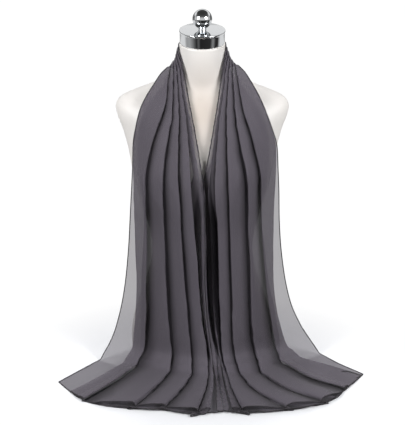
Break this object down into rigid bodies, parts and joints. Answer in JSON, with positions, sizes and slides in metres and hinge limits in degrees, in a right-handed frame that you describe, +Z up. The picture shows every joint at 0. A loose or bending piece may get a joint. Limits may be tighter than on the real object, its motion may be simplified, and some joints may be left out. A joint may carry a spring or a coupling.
{
  "type": "hijab headscarf on a dress form",
  "caption": "Long chiffon headscarf laid round the neck of a limbless white form, its pleated ends hanging down the front and spreading forward over the table.",
  "frame": {"origin": "on the table under the form's flat base, below the middle of its neck", "axes": "+Z up, -Y to the front where the scarf's ends spread out, +X to the viewer's right"},
  "size_m": [0.66, 0.4451, 0.7734],
  "materials": {
    "form": "satin white",
    "chrome": "polished",
    "chiffon": "sheer dark-grey chiffon"
  },
  "bodies": {
    "root": {"form_torso": "form", "neck_cap": "chrome", "finial": "chrome", "scarf_neck": "chiffon", "scarf_left_end": "chiffon", "scarf_right_end": "chiffon"}
  },
  "joints": []
}
